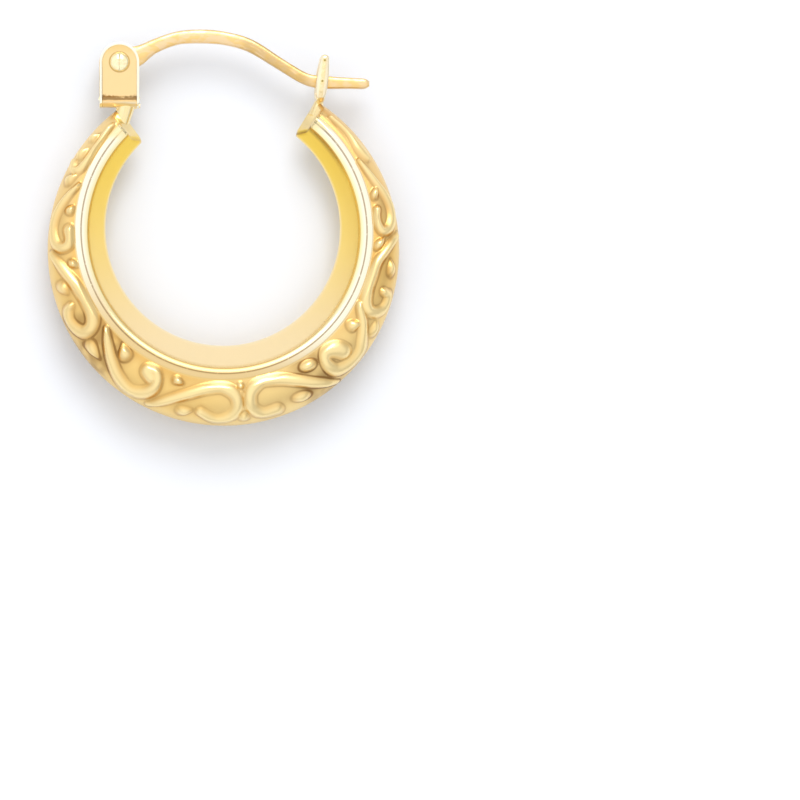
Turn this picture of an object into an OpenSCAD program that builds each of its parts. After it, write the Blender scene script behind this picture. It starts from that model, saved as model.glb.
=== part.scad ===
// Hollow creole earring with raised scrollwork, a hinged ear wire and a catch.
// It lies flat: the hole runs up and down, the ear wire is at the back (+Y),
// and the origin is under the middle of its outline, on the surface below it.

/* [Hoop] */
// Diameter of the hoop across its outer seam
hoop_d = 20; // [19.5:0.1:21]
// Diameter of the hole across its inner seam
hole_d = 13.44; // [13:0.02:13.6]
// How far the hole's centre sits above the hoop's centre
hole_rise = 1.27; // [1.2:0.01:1.4]
// Diameter of the circle that the crest of the polished rim follows
rim_d = 16.22; // [16:0.02:16.4]
// How far that circle's centre sits above the hoop's centre
rim_rise = 1; // [1:0.01:1.15]
// Width of the polished rim
rim_w = 0.7; // [0.6:0.02:0.8]
// Depth of the hoop at its lowest point, from rim to rim
depth_low = 4.4; // [4:0.1:4.8]
// Depth of the hoop at its two ends
depth_end = 2.8; // [2.6:0.1:3]
// Angle from the lowest point to the rim's end
end_angle = 142.7; // [140:0.1:144]
// How much further round the seam runs than the rim, as a share
end_draft = 0.022; // [0.01:0.001:0.03]
// Thickness of the stamped sheet
sheet_t = 0.2; // [0.15:0.01:0.25]

/* [Scrollwork] */
// Height of the raised strands over the ground
relief_h = 0.26; // [0.1:0.01:0.3]

/* [Hinge] */
// Distance of the rivet from the hoop's centre line
rivet_x = -5.48; // [-5.6:0.01:-5.4]
// Height of the rivet over the hoop's centre
rivet_y = 10.88; // [10.8:0.01:10.95]
// Diameter of the rivet's shank
rivet_d = 0.6; // [0.5:0.02:0.64]
// Diameter of the rivet's domed heads
rivet_head_d = 1.1; // [1:0.02:1.2]
// Height of a rivet head
rivet_head_h = 0.28; // [0.2:0.01:0.3]
// Width of the fork
fork_w = 2.24; // [2.1:0.02:2.3]
// Length of the fork from the rivet to its folded base
fork_reach = 2.58; // [2.56:0.01:2.6]
// Depth of the fork over both ears
fork_depth = 1.6; // [1.5:0.02:1.7]
// Thickness of one ear
ear_t = 0.36; // [0.3:0.01:0.38]
// Outer radius of the fork's fold
fold_r = 0.55; // [0.5:0.01:0.6]
// How far the fork leans from the hoop's centre line
fork_lean = 2.5; // [2:0.1:3]

/* [Ear wire] */
// Thickness of the ear wire along the hinge's axis
wire_t = 0.72; // [0.6:0.02:0.74]
// Radius of the eye round the rivet
eye_r = 0.95; // [0.85:0.01:1]
// Clearance round the rivet in the eye
eye_gap = 0.03; // [0.02:0.01:0.05]

/* [Catch] */
// Where the catch stands on the hoop's end
catch_x = 5.8; // [5.75:0.01:5.85]
// Height of that place over the hoop's centre
catch_y = 8.15; // [8.1:0.01:8.2]
// How far the catch leans outwards
catch_lean = 9.4; // [9:0.1:10]
// Height of the catch
catch_h = 2.72; // [2.6:0.02:2.8]
// Half of the width inside the catch at its base
loop_r = 0.55; // [0.52:0.01:0.58]
// Thickness of a prong
prong_t = 0.32; // [0.3:0.01:0.36]
// Width of the mouth between the prongs
mouth_w = 0.82; // [0.8:0.01:0.86]

/* [Hidden] */

hoop_r = hoop_d / 2;
hole_r = hole_d / 2;
rim_r = rim_d / 2;
GOLD = [0.93, 0.76, 0.4];
PALE_GOLD = [0.95, 0.82, 0.55];

// Stations round the hoop, points over one face of a section and the angles of
// the points on its rim's bead: for the skin and for the void inside
STATIONS = 160;
FACE_POINTS = 11;
BEAD_TURNS = [150, 120, 90, 55, 25];
VOID_STATIONS = 40;
VOID_FACE_POINTS = 5;
VOID_BEAD_TURNS = [150, 90, 25];
// The bead is round on its inner side, and its outer side falls less: the width
// and the fall of that side
bead_out = 0.39;
bead_fall = 0.16;
foot_out = bead_out * cos(BEAD_TURNS[4]);
foot_drop = bead_fall * (1 - sin(BEAD_TURNS[4]));
// Share of the depth, from the seam, over which the hoop's ends slant
end_slant = 0.55;
// How far, in degrees, the void stays inside the hoop's closed ends
end_wall = 1.5;

// The face's dome over a section: its exponent, where 0.5 is an ellipse, how
// much closer its points lie towards the seam, and how far, in degrees, its
// scrollwork leans outwards at the seam
face_bulge = 0.6;
face_gather = 1.25;
face_lean = 80;

// The strand of one scroll, from its inner end to its tail: how far along the
// scroll from the curl to the tail, how far across the face from the tail's
// side, and half of its width in mm. Every scroll has the same body, with a
// hooked or a balled inner end.
HOOK_END = [[0.40, 0.30, 0.26], [0.31, 0.18, 0.29], [0.20, 0.14, 0.28], [0.09, 0.21, 0.26]];
BALL_END = [[0.22, 0.25, 0.38], [0.13, 0.15, 0.25], [0.04, 0.22, 0.24]];
BODY = [
    [0.01, 0.38, 0.25],
    [0.01, 0.60, 0.26],
    [0.08, 0.78, 0.30],
    [0.23, 0.87, 0.35],
    [0.40, 0.80, 0.33],
    [0.57, 0.65, 0.30],
    [0.74, 0.45, 0.28],
    [0.88, 0.26, 0.24],
    [1.00, 0.10, 0.15]
];

// Each scroll: the angle of its curl, the angle of its tail, whether the tail
// starts at the rim, whether it ends in a ball, and a factor on its width
SCROLLS = [
    [2.0, -28.5, false, false, 1.0],
    [-28.0, -58.5, true, true, 1.0],
    [-59.5, -90.5, false, false, 0.95],
    [-92.0, -115.5, true, true, 0.75],
    [-119.5, -141.5, false, false, 0.55],
    [6.4, 37.5, false, false, 1.0],
    [38.8, 66.0, true, true, 0.95],
    [64.5, 92.0, false, false, 0.9],
    [93.8, 117.0, true, true, 0.7],
    [119.5, 140.0, false, false, 0.55]
];

// Each drop between them: its angle, how far it is across the face from the
// outer seam, and half of its length and of its width in mm
DROPS = [
    [-17.0, 0.22, 0.34, 0.28],
    [-23.0, 0.82, 0.33, 0.26],
    [-46.0, 0.80, 0.50, 0.33],
    [-55.2, 0.27, 0.46, 0.38],
    [-78.8, 0.30, 0.32, 0.32],
    [-86.5, 0.84, 0.31, 0.26],
    [-105.7, 0.78, 0.26, 0.26],
    [-116.0, 0.36, 0.38, 0.26],
    [-125.0, 0.30, 0.42, 0.22],
    [-132.0, 0.30, 0.30, 0.19],
    [24.0, 0.23, 0.52, 0.36],
    [32.5, 0.80, 0.52, 0.34],
    [55.8, 0.73, 0.42, 0.31],
    [58.5, 0.17, 0.44, 0.26],
    [79.5, 0.28, 0.38, 0.23],
    [88.5, 0.78, 0.38, 0.24],
    [107.0, 0.72, 0.36, 0.22],
    [4.2, 0.17, 0.22, 0.24],
    [3.9, 0.84, 0.20, 0.22]
];

// The ear wire's middle line from the hinge to its tip, and its width there
WIRE = [
    [-5.20, 10.97, 1.44],
    [-4.40, 11.25, 1.14],
    [-3.95, 11.48, 0.92],
    [-3.30, 11.80, 0.78],
    [-2.10, 12.16, 0.74],
    [-0.80, 12.20, 0.78],
    [0.60, 12.03, 0.74],
    [2.05, 11.54, 0.72],
    [3.70, 10.43, 0.65],
    [5.05, 9.56, 0.66],
    [6.05, 9.32, 0.72],
    [7.60, 9.19, 0.61],
    [8.40, 9.13, 0.58]
];
// Radius of the wire's rounded tip
tip_r = 0.29;

// Clearance of the rivet in the fork's ears
rivet_gap = 0.01;
// Radius of the bends at the catch's base, inside
bend_r = 0.24;

// The middle of the whole outline and the height of the seam over the floor
wire_top = 12.6;
middle_y = (wire_top - hoop_r) / 2;
seam_z = depth_low / 2;

// Distance from the hoop's centre to a circle whose centre is higher by rise,
// at an angle from the lowest point
function off_centre(radius, rise, angle) =
    -rise * cos(angle) + sqrt(pow(radius, 2) - pow(rise * sin(angle), 2));
function rim_at(angle) = off_centre(rim_r, rim_rise, angle);
function hole_at(angle) = off_centre(hole_r, hole_rise, angle);
function foot_at(angle) = rim_at(angle) + foot_out;
function share_low(angle) = (cos(angle) - cos(end_angle)) / (1 - cos(end_angle));
function crest_at(angle) = (depth_end + (depth_low - depth_end) * share_low(angle)) / 2;

// A place on the face as it is seen from above: across is 0 at the outer seam
// and 1 at the rim
function on_face(angle, across) =
    let (r = hoop_r + (foot_at(angle) - hoop_r) * across)
    [r * sin(angle), -r * cos(angle)];

function scroll_line(s) = [
    for (p = concat(s[3] ? BALL_END : HOOK_END, BODY))
    let (angle = s[0] + (s[1] - s[0]) * p[0], at = on_face(angle, s[2] ? 1 - p[1] : p[1]))
    [at[0], at[1], p[2] * s[4]]
];

// Lines worked out once, with the range of angles that each one reaches, which
// is a margin wider than its curl and tail
margin = 6;
LINES = [for (s = SCROLLS) [min(s[0], s[1]) - margin, max(s[0], s[1]) + margin, scroll_line(s)]];
SPOTS = [for (d = DROPS) [d[0], on_face(d[0], d[1]), d[2], d[3]]];

// A ridge is drawn a little wider than its strand, so that its foot is soft,
// and a drop is a little lower than a strand
spread = 1.2;
drop_share = 0.9;
function dome(d) = d < 1 ? pow(1 - d * d, 1.3) : 0;

// Height of a rounded ridge from a to b, whose third values are half widths
function ridge(p, a, b) =
    let (
        run = [b[0] - a[0], b[1] - a[1]],
        off = [p[0] - a[0], p[1] - a[1]],
        t = min(1, max(0, (run * off) / (run * run))),
        half_w = a[2] + (b[2] - a[2]) * t
    )
    dome(norm(off - run * t) / (half_w * spread));

function line_height(p, line) = max([for (i = [1 : len(line) - 1]) ridge(p, line[i - 1], line[i])]);

function spot_height(p, spot) =
    let (
        off = p - spot[1],
        along = off[0] * cos(spot[0]) + off[1] * sin(spot[0]),
        out = -off[0] * sin(spot[0]) + off[1] * cos(spot[0])
    )
    dome(norm([along / spot[2], out / spot[3]]) / spread);

// Height of the scrollwork, from 0 to 1, at a place seen from above
function relief(angle, p) = max(concat(
    [0],
    [for (l = LINES) if (angle > l[0] && angle < l[1]) line_height(p, l[2])],
    [for (s = SPOTS) if (abs(angle - s[0]) < margin) drop_share * spot_height(p, s)]
));

// One face of the section: a dome that falls from the rim's foot to the seam,
// with the scrollwork raised along its normal. Each point is radius and height.
function face_point(angle, t, inset, raised) =
    let (
        foot = foot_at(angle) + inset,
        r = foot + (hoop_r - inset - foot) * t,
        z = (crest_at(angle) - foot_drop - inset) * pow(1 - t * t, face_bulge),
        lift = raised ? relief_h * relief(angle, [r * sin(angle), -r * cos(angle)]) : 0,
        lean = face_lean * t * t
    )
    [r + lift * sin(lean) * (1 - t), z + lift * cos(lean)];

// A point of the bead, at an angle round it from its outer side
function bead_point(angle, inset, turn) =
    let (
        out = (turn > 90 ? rim_w / 2 : bead_out) - inset,
        fall = turn > 90 ? rim_w / 2 - inset : bead_fall
    )
    [rim_at(angle) + out * cos(turn), crest_at(angle) - inset - fall * (1 - sin(turn))];

// Half of a section, from the inner seam over the rim to the outer seam
function half_section(angle, inset, face_points, turns, raised) = concat(
    [[hole_at(angle) + inset, 0]],
    [for (turn = turns) bead_point(angle, inset, turn)],
    [for (i = [1 : face_points - 1])
        face_point(angle, 1 - pow(1 - i / face_points, face_gather), inset, raised)],
    [[hoop_r - inset, 0]]
);

// The whole section as points in space. Towards the seam the hoop runs a
// little further round, which slants its ends.
function section(angle, inset, face_points, turns, raised) =
    let (
        half = half_section(angle, inset, face_points, turns, raised),
        n = len(half),
        ring = concat(half, [for (i = [n - 2 : -1 : 1]) [half[i][0], -half[i][1]]]),
        crest = crest_at(angle)
    )
    [for (p = ring)
        let (turned = angle * (1 + end_draft * max(0, 1 - abs(p[1]) / crest / end_slant)))
        [p[0] * sin(turned), -p[0] * cos(turned), p[1]]];

// A closed body through sections round the hoop, with its ends closed in two
// halves that meet in the seam
module crescent(last_angle, stations, inset, face_points, turns, raised) {
    rings = [
        for (i = [0 : stations])
        section(last_angle * (2 * i / stations - 1), inset, face_points, turns, raised)
    ];
    n = len(rings[0]);
    walls = [
        for (i = [0 : stations - 1], j = [0 : n - 1])
        let (a = i * n + j, b = i * n + (j + 1) % n)
        each [[a, b + n, b], [a, a + n, b + n]]
    ];
    last = stations * n;
    start_cap = [for (j = [1 : n - 2]) [0, j, j + 1]];
    end_cap = [for (f = start_cap) [last, last + f[2], last + f[1]]];
    polyhedron(points = [for (r = rings) each r], faces = concat(walls, start_cap, end_cap));
}

// The folded strap from the side: two ears with a slot between them, and a base
// with rounded corners. The rivet's axis crosses it at the origin.
module fork_side() {
    width = fork_depth;
    difference() {
        union() {
            translate([-width / 2, fold_r - fork_reach]) square([width, fork_reach + fork_w]);
            translate([fold_r - width / 2, -fork_reach]) square([width - 2 * fold_r, fold_r]);
            for (side = [-1, 1])
                translate([side * (width / 2 - fold_r), fold_r - fork_reach]) circle(r = fold_r, $fn = 48);
        }
        translate([ear_t - width / 2, ear_t - fork_reach]) square([width - 2 * ear_t, fork_reach + 2 * fork_w]);
    }
}

// The strap from the front: two straight edges under a round top
module fork_front() {
    translate([-fork_w / 2, -fork_reach]) square([fork_w, fork_reach]);
    circle(d = fork_w, $fn = 64);
}

// The strap as a whole, with a bore for the rivet
module hinge_fork() {
    translate([rivet_x, rivet_y, 0]) rotate([0, 0, -fork_lean]) difference() {
        intersection() {
            linear_extrude(height = fork_depth, center = true) fork_front();
            rotate([0, 90, 0]) linear_extrude(height = 2 * fork_w, center = true) fork_side();
        }
        cylinder(d = rivet_d + 2 * rivet_gap, h = 2 * fork_depth, center = true, $fn = 48);
    }
}

// The posts that carry the fork and the catch: top, foot inside the hoop's end
// and radius. The foot's place is the same for both, but mirrored.
POST_FOOT = [5.5, 7.3];
fork_post_r = 0.4;
catch_post_r = 0.22;
fork_post_top = [rivet_x + 0.12, rivet_y - fork_reach + 0.2];
catch_post_top = [catch_x + 0.08, catch_y + 0.45];

// A round post between two places in the seam's plane
module post(from, to, r) {
    run = to - from;
    translate([from[0], from[1], 0]) rotate([0, 90, atan2(run[1], run[0])])
        cylinder(r = r, h = norm(run), $fn = 32);
}

// A form round the catch from the side, whose sides lean in from its base, with
// rounded corners, to its top
module catch_form(half_base, half_top, bottom, top, corner_r) {
    hull() {
        for (side = [-1, 1])
            translate([side * (half_base - corner_r), bottom + corner_r]) circle(r = corner_r, $fn = 32);
        translate([-half_top, top]) square([2 * half_top, 0.01]);
    }
}

// The catch from the side: two prongs that stand on a bent base, with the mouth
// open between their round tips
module catch_side() {
    tip_y = catch_h - prong_t / 2;
    difference() {
        catch_form(loop_r + prong_t, mouth_w / 2 + prong_t, 0, tip_y, bend_r + prong_t);
        catch_form(loop_r, mouth_w / 2, prong_t, tip_y + 0.01, bend_r);
    }
    for (side = [-1, 1])
        translate([side * (mouth_w + prong_t) / 2, tip_y]) circle(d = prong_t, $fn = 32);
}

// The catch's width from the front at several heights, given as shares of its
// own height: it is widest a little under its middle and narrows to blunt tips
CATCH_WIDTHS = [[0, 0.5], [0.2, 0.62], [0.45, 0.72], [0.65, 0.66], [0.9, 0.52], [0.97, 0.44], [1, 0.26]];

module catch_front() {
    right = [for (row = CATCH_WIDTHS) [row[1] / 2, row[0] * catch_h]];
    left = [for (i = [len(right) - 1 : -1 : 0]) [-right[i][0], right[i][1]]];
    polygon(concat(right, left));
}

// Two prongs that the ear wire drops between, open at the top
module catch_loop() {
    translate([catch_x, catch_y, 0]) rotate([0, 0, -catch_lean]) intersection() {
        linear_extrude(height = catch_h, center = true) catch_front();
        rotate([0, 90, 0]) linear_extrude(height = catch_h, center = true) catch_side();
    }
}

// Everything is drawn round the hoop's centre and then set down on the floor
module set_down() {
    translate([0, -middle_y, seam_z]) children();
}

// The stamped halves, the fork and the catch are soldered into one
module hoop() color(GOLD) set_down() difference() {
    union() {
        crescent(end_angle, STATIONS, 0, FACE_POINTS, BEAD_TURNS, true);
        post(fork_post_top, [-POST_FOOT[0], POST_FOOT[1]], fork_post_r);
        post(catch_post_top, POST_FOOT, catch_post_r);
        hinge_fork();
        catch_loop();
    }
    crescent(end_angle - end_wall, VOID_STATIONS, sheet_t, VOID_FACE_POINTS, VOID_BEAD_TURNS, false);
}

module rivet_half() {
    ball_r = (pow(rivet_head_d / 2, 2) + pow(rivet_head_h, 2)) / (2 * rivet_head_h);
    cylinder(d = rivet_d, h = fork_depth / 2, $fn = 48);
    intersection() {
        translate([0, 0, fork_depth / 2 + rivet_head_h - ball_r]) sphere(r = ball_r, $fn = 96);
        translate([0, 0, fork_depth / 2]) cylinder(d = 2 * rivet_head_d, h = rivet_head_h, $fn = 48);
    }
}

// The rivet fills the fork's bores, and its heads bear on both ears
module hinge_rivet() color(PALE_GOLD) set_down() translate([rivet_x, rivet_y, 0]) {
    rivet_half();
    mirror([0, 0, 1]) rivet_half();
}

// A smooth curve through a table's rows
function curve(rows, steps) =
    let (last = len(rows) - 1)
    concat([for (i = [0 : last - 1], k = [0 : steps - 1])
        let (
            t = k / steps,
            a = rows[max(0, i - 1)],
            b = rows[i],
            c = rows[i + 1],
            d = rows[min(last, i + 2)]
        )
        b + 0.5 * t * (c - a + t * (2 * a - 5 * b + 4 * c - d + t * (3 * (b - c) + d - a)))
    ], [rows[last]]);

// The wire's two edges, as one closed outline
function outline(line) =
    let (
        last = len(line) - 1,
        sides = [for (i = [0 : last])
            let (
                run = line[min(last, i + 1)] - line[max(0, i - 1)],
                n = [-run[1], run[0]] / norm([run[0], run[1]]) * line[i][2] / 2
            )
            [[line[i][0], line[i][1]] + n, [line[i][0], line[i][1]] - n]]
    )
    concat([for (s = sides) s[0]], [for (i = [last : -1 : 0]) sides[i][1]]);

// A flat forged wire with an eye that turns on the rivet and a rounded tip
module ear_wire() color(PALE_GOLD) set_down() difference() {
    union() {
        linear_extrude(height = wire_t, center = true) polygon(outline(curve(WIRE, 4)));
        translate([rivet_x, rivet_y, 0]) cylinder(r = eye_r, h = wire_t, center = true, $fn = 64);
        translate([WIRE[len(WIRE) - 1][0], WIRE[len(WIRE) - 1][1], 0])
            cylinder(r = tip_r, h = wire_t, center = true, $fn = 32);
    }
    translate([rivet_x, rivet_y, 0])
        cylinder(d = rivet_d + 2 * eye_gap, h = 2 * wire_t, center = true, $fn = 48);
}

hoop();
hinge_rivet();
ear_wire();
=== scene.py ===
"""A hollow gold creole earring with raised scrollwork, lying on a white sweep in soft light."""

import math

import bmesh
import bpy
import numpy as np
from mathutils import Matrix, Vector


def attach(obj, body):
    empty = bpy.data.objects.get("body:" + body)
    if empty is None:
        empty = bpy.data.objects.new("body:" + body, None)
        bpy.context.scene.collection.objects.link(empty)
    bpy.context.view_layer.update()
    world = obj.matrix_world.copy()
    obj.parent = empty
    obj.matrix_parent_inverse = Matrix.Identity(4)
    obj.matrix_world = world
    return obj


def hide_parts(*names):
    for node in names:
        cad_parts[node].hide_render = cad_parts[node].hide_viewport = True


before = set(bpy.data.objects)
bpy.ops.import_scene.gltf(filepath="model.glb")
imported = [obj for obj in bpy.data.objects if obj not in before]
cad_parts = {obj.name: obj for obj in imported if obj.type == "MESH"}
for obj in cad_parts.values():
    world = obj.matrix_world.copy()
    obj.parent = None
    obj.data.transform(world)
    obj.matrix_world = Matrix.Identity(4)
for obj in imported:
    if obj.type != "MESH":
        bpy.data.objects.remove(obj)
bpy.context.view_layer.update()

MM = 0.001

# The hoop's circles, seen from above, in millimetres round its own centre
HOOP_R = 10.0
HOLE_R = 6.72
HOLE_RISE = 1.27
RIM_R = 8.11
RIM_RISE = 1.0
DEPTH_LOW = 4.4
DEPTH_END = 2.8
END_ANGLE = 142.7
END_DRAFT = 0.022
FACE_BULGE = 0.6

# The bead on the rim: the width and the fall of its outer and of its inner side,
# the angles round it from its outer side where it meets the face and leaves the
# wall, and the distance and depth of the face's foot. Its inner side is narrower
# at the bottom of the hoop.
BEAD_OUT = 0.39
OUT_FALL = 0.16
BEAD_IN = 0.43
IN_NARROW = 0.06
IN_FALL = 0.2
BEAD_OUTER = 25
BEAD_INNER = 150
FOOT_OUT = BEAD_OUT * math.cos(math.radians(BEAD_OUTER))
FOOT_DROP = OUT_FALL * (1 - math.sin(math.radians(BEAD_OUTER)))

# The share of the depth over which the hoop's ends slant, how far, in degrees and
# in millimetres, their inner corners are rounded, and how far the wall swells
END_SLANT = 0.55
CORNER_RUN = 1.6
CORNER_R = 0.17
WALL_BULGE = 0.02

# The hoop's centre in the frame: under the outline's top, at the seam's height
HOOP_CENTRE = Vector((0.0, -1.3, DEPTH_LOW / 2))

# Stations round the hoop, steps over one half of its section, and how much the
# face's steps gather towards its outer seam
STATIONS = 640
WALL_STEPS = 8
BEAD_STEPS = 14
FACE_STEPS = 46
FACE_GATHER = 1.3
CREST_STEP = WALL_STEPS + BEAD_STEPS // 2
FOOT_STEP = WALL_STEPS + BEAD_STEPS
HALF_STEPS = FOOT_STEP + FACE_STEPS
RING_POINTS = 2 * HALF_STEPS

# The hoop's two ends: how far their edges are rounded, in millimetres, over how
# many rings, and the width in degrees of the outline beside them
END_ROUND = 0.2
END_RINGS = 6
END_LINE = 1.2

# Height of the strands over the ground, in millimetres, how much wider than its
# half width a strand's soft foot is, and how round its top is
RELIEF_H = 0.25
SPREAD = 1.36
ROUNDNESS = 1.35

# Middle radius of the face, which turns angles into lengths on its chart, and
# how much of the chart's other way follows the slope and not the view from above
CHART_R = 9.0
CHART_SLOPE = 0.4

# The degrees over which the relief sinks towards the hoop's ends, how fast it rises
# from the face's two edges, the distance that counts as far from every strand, how
# far beside a strand its height is worked out, and a curve's steps from row to row
RELIEF_FADE = 4.0
RELIEF_EDGES = 6.0
FAR_OFF = 9.0
BESIDE = 1.0
CURVE_STEPS = 6

# The scrolls, from the tail to the inner end. Each point is the angle from the
# hoop's lowest point, the share of the way from the outer seam to the rim, and
# half of the strand's width in millimetres.
SCROLLS = {
    "left_1": [
        (-28.5, 0.09, 0.15), (-24.5, 0.28, 0.24), (-20.5, 0.46, 0.27), (-15.5, 0.63, 0.28),
        (-10.5, 0.76, 0.29), (-4.5, 0.84, 0.32), (0.0, 0.74, 0.34), (2.0, 0.58, 0.33),
        (2.0, 0.38, 0.31), (-0.5, 0.20, 0.30), (-5.5, 0.13, 0.27), (-11.0, 0.27, 0.24),
    ],
    "left_2": [
        (-58.5, 0.90, 0.15), (-52.5, 0.63, 0.25), (-47.5, 0.43, 0.28), (-42.5, 0.26, 0.31),
        (-36.5, 0.15, 0.34), (-32.0, 0.26, 0.34), (-29.6, 0.46, 0.32), (-29.8, 0.68, 0.29),
        (-32.3, 0.84, 0.27), (-35.0, 0.76, 0.36), (-32.2, 0.65, 0.34),
    ],
    "left_3": [
        (-90.5, 0.17, 0.16), (-86.5, 0.39, 0.25), (-82.0, 0.60, 0.29), (-77.5, 0.76, 0.32),
        (-72.5, 0.84, 0.34), (-67.5, 0.84, 0.35), (-63.6, 0.72, 0.34), (-61.6, 0.53, 0.33),
        (-62.0, 0.33, 0.32), (-64.8, 0.20, 0.31), (-68.0, 0.17, 0.29), (-70.8, 0.25, 0.26),
        (-72.0, 0.36, 0.20),
    ],
    "left_4": [
        (-116.0, 0.88, 0.12), (-110.5, 0.52, 0.18), (-105.5, 0.28, 0.21), (-99.5, 0.17, 0.24),
        (-94.5, 0.27, 0.26), (-92.6, 0.48, 0.26), (-93.4, 0.72, 0.27), (-96.0, 0.84, 0.30),
        (-99.0, 0.82, 0.34),
    ],
    "left_5": [
        (-140.5, 0.69, 0.12), (-132.5, 0.82, 0.17), (-126.5, 0.80, 0.20), (-121.5, 0.64, 0.21),
        (-120.0, 0.36, 0.20), (-122.5, 0.18, 0.17),
    ],
    "right_1": [
        (37.5, 0.05, 0.15), (34.5, 0.21, 0.23), (30.5, 0.40, 0.27), (26.5, 0.58, 0.29),
        (21.5, 0.76, 0.31), (16.5, 0.86, 0.33), (12.5, 0.88, 0.34), (8.5, 0.74, 0.34),
        (7.0, 0.56, 0.33), (7.3, 0.34, 0.31), (10.5, 0.18, 0.31), (15.5, 0.17, 0.34),
    ],
    "right_2": [
        (65.5, 0.90, 0.13), (63.5, 0.80, 0.20), (59.5, 0.55, 0.25), (54.5, 0.32, 0.28),
        (50.5, 0.16, 0.31), (45.5, 0.15, 0.33), (40.5, 0.27, 0.33), (39.0, 0.49, 0.31),
        (39.8, 0.69, 0.29), (41.8, 0.77, 0.33), (44.2, 0.72, 0.40),
        (46.0, 0.60, 0.44), (46.6, 0.50, 0.42),
    ],
    "right_3": [
        (92.0, 0.12, 0.13), (90.5, 0.27, 0.19), (86.5, 0.55, 0.23), (82.5, 0.76, 0.26),
        (77.5, 0.84, 0.30), (72.5, 0.85, 0.31), (67.0, 0.74, 0.31), (64.4, 0.54, 0.30),
        (65.0, 0.32, 0.28), (67.5, 0.18, 0.27), (71.5, 0.18, 0.25), (72.5, 0.34, 0.22),
    ],
    "right_4": [
        (121.0, 0.84, 0.10), (116.5, 0.72, 0.15), (111.0, 0.52, 0.19), (106.5, 0.33, 0.21),
        (102.0, 0.22, 0.24), (97.5, 0.25, 0.25), (94.5, 0.42, 0.25), (94.0, 0.64, 0.24),
        (96.5, 0.80, 0.22), (99.5, 0.84, 0.21), (102.0, 0.78, 0.20),
    ],
    "right_5": [
        (139.0, 0.58, 0.07), (135.0, 0.54, 0.09), (131.0, 0.50, 0.12), (127.5, 0.47, 0.21),
        (124.5, 0.46, 0.27), (121.5, 0.42, 0.23), (119.5, 0.38, 0.12),
    ],
}

# The drops between them: angle and share across, half of the length and of the
# width in millimetres, the long axis's turn from the hoop's run towards the rim,
# and how much its far end is narrower
DROPS = [
    (-16.5, 0.22, 0.38, 0.24, 20, 0.3),
    (-22.0, 0.82, 0.34, 0.22, -10, 0.3),
    (-46.5, 0.80, 0.46, 0.30, 150, 0.4),
    (-55.0, 0.28, 0.48, 0.26, -5, 0.4),
    (-78.6, 0.32, 0.36, 0.26, 30, 0.35),
    (-86.5, 0.84, 0.30, 0.22, 60, 0.2),
    (-106.5, 0.77, 0.28, 0.21, 150, 0.3),
    (-117.0, 0.40, 0.40, 0.20, 140, 0.4),
    (-126.3, 0.30, 0.38, 0.16, 165, 0.3),
    (-133.0, 0.34, 0.28, 0.14, 165, 0.3),
    (25.0, 0.23, 0.44, 0.26, -14, 0.0),
    (32.7, 0.78, 0.46, 0.27, -12, 0.0),
    (57.0, 0.70, 0.40, 0.27, -40, 0.4),
    (59.5, 0.18, 0.42, 0.24, 15, 0.3),
    (81.0, 0.28, 0.40, 0.21, 10, 0.3),
    (89.5, 0.76, 0.38, 0.22, -40, 0.3),
    (108.0, 0.71, 0.34, 0.19, -35, 0.3),
    (4.1, 0.17, 0.26, 0.24, 90, 0.2),
    (3.8, 0.86, 0.20, 0.20, 90, 0.0),
]

# The faint stem between the two lowest drops, in a scroll's columns, and its height
# as a share of a strand's
STEM = [(4.0, 0.34, 0.10), (4.0, 0.72, 0.10)]
STEM_SHARE = 0.3

# Painted brown shade in the creases and in patches on the ground: the angles where it sits thickest, how
# many degrees it spreads and its share there, and its share everywhere
TAN_PLACES = [
    (-100.0, 20.0, 0.15),
    (-66.0, 3.5, 0.4),
    (-53.0, 9.0, 0.9),
    (33.0, 9.0, 0.55),
    (75.0, 30.0, 0.2),
]
TAN_EVERYWHERE = 0.28

# The rivet: its place round the hoop's centre, its shank and its heads, how deep
# they sit in the fork, how full their dome is, and the depth and the half width of
# the mark filed over them
RIVET_AT = Vector((-5.48, 10.88, 0.0))
RIVET_R = 0.3
RIVET_HEAD_R = 0.55
RIVET_HEAD_H = 0.28
HEAD_SUNK = 0.03
HEAD_DOME = 0.8
MARK_DEEP = 0.04
MARK_HALF = 0.035

# The fork that it goes through, folded from one strap: its width, its reach below
# the rivet and its depth, its sheet, its fold's radius and its lean in degrees
FORK_W = 2.24
FORK_REACH = 2.58
FORK_DEPTH = 1.6
EAR_T = 0.36
FOLD_R = 0.55
FORK_LEAN = 2.5

# The strap's bright border and the slope inside it, how deep the field lies, how
# wide its edges are rounded, and the cuts along it that let it fold
BORDER_W = 0.13
SLOPE_W = 0.05
FIELD_DEEP = 0.035
STRAP_BEVEL = 0.09
STRAP_CUTS = 44

# The line scored over the fork's fold: the places of its edges and of its floor
# below the rivet, its depth, and half of the width of the field that it crosses
SCORE_EDGES = (1.94, 2.0, 2.2, 2.24)
SCORE_DEEP = 0.05
FIELD_HALF = 0.95

# The catch: its foot, where the wire passes it, its lean and height, half of the
# width inside it at its base, its bends there, its prongs and their mouth, its
# width at shares of its height, and its pits
CATCH_AT = Vector((5.8, 8.15, 0.0))
CATCH_X = 6.05
CATCH_LEAN = 9.4
CATCH_H = 2.72
LOOP_R = 0.55
BEND_R = 0.24
PRONG_T = 0.32
MOUTH_W = 0.82
CATCH_WIDTHS = [(0.0, 0.5), (0.2, 0.62), (0.45, 0.73), (0.65, 0.67), (0.9, 0.52), (1.0, 0.48)]
PIT_R = 0.045
PIT_HEIGHTS = (1.2, 2.4)

# A prong's rounded tip, row by row: how far below the top, and the share of the
# full size; then the steps down a prong and round a bend
TIP_ROWS = [(0.0, 0.35), (0.05, 0.8), (0.12, 0.96), (0.22, 1.0)]
PRONG_STEPS = 12
BEND_STEPS = 10

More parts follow.
